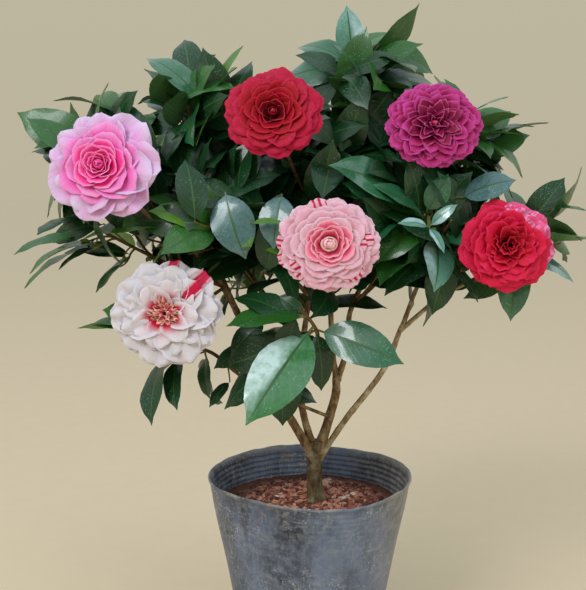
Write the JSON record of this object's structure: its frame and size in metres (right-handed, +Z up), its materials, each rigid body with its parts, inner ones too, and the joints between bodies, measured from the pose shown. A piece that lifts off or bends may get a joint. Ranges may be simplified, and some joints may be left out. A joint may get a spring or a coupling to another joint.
{
  "type": "camellia shrub in a nursery pot",
  "caption": "Potted camellia shrub: thin boughs fork from a short trunk and carry broad glossy leaves and large double blooms of several colours, in a soft round nursery pot.",
  "frame": {"origin": "middle of the pot's flat underside", "axes": "+Z up along the pot's axis; the side that the blooms face is -Y"},
  "size_m": [0.5416, 0.3479, 0.6683],
  "materials": {
    "bark": "rough grey-brown bark",
    "leaves": "glossy dark green, paler underneath",
    "pot_plastic": "scuffed satin slate grey",
    "potting_soil": "crumbly matte red-brown",
    "bloom_pink": "soft velvety petals, paler at their edges",
    "bloom_red": "soft velvety petals",
    "bloom_magenta": "soft petals with thin pale edges",
    "bloom_striped": "soft pale petals with darker flecks",
    "bloom_scarlet": "soft ruffled petals with pale flecks",
    "bloom_white": "soft ruffled petals with red wedges near the heart"
  },
  "bodies": {
    "root": {"bloom_magenta": "bloom_magenta", "bloom_pink": "bloom_pink", "bloom_red": "bloom_red", "bloom_scarlet": "bloom_scarlet", "bloom_striped": "bloom_striped", "bloom_white": "bloom_white", "bough_back": "bark", "bough_back_left": "bark", "bough_back_right": "bark", "bough_centre": "bark", "bough_centre_high": "bark", "bough_centre_right": "bark", "bough_front": "bark", "bough_front_left": "bark", "bough_left": "bark", "bough_left_rise": "bark", "bough_left_side": "bark", "bough_left_up": "bark", "bough_low_left": "bark", "bough_middle": "bark", "bough_right": "bark", "bough_right_high": "bark", "bough_right_low": "bark", "foliage_back": "leaves", "foliage_back_left": "leaves", "foliage_back_right": "leaves", "foliage_crown_top": "leaves", "foliage_front_left": "leaves", "foliage_front_low": "leaves", "foliage_left_high": "leaves", "foliage_left_low": "leaves", "foliage_low_left": "leaves", "foliage_right_high": "leaves", "foliage_right_middle": "leaves", "foliage_right_side": "leaves", "foliage_upper_left": "leaves", "foliage_upper_middle": "leaves", "pot": "pot_plastic", "soil": "potting_soil", "trunk": "bark"}
  },
  "joints": []
}
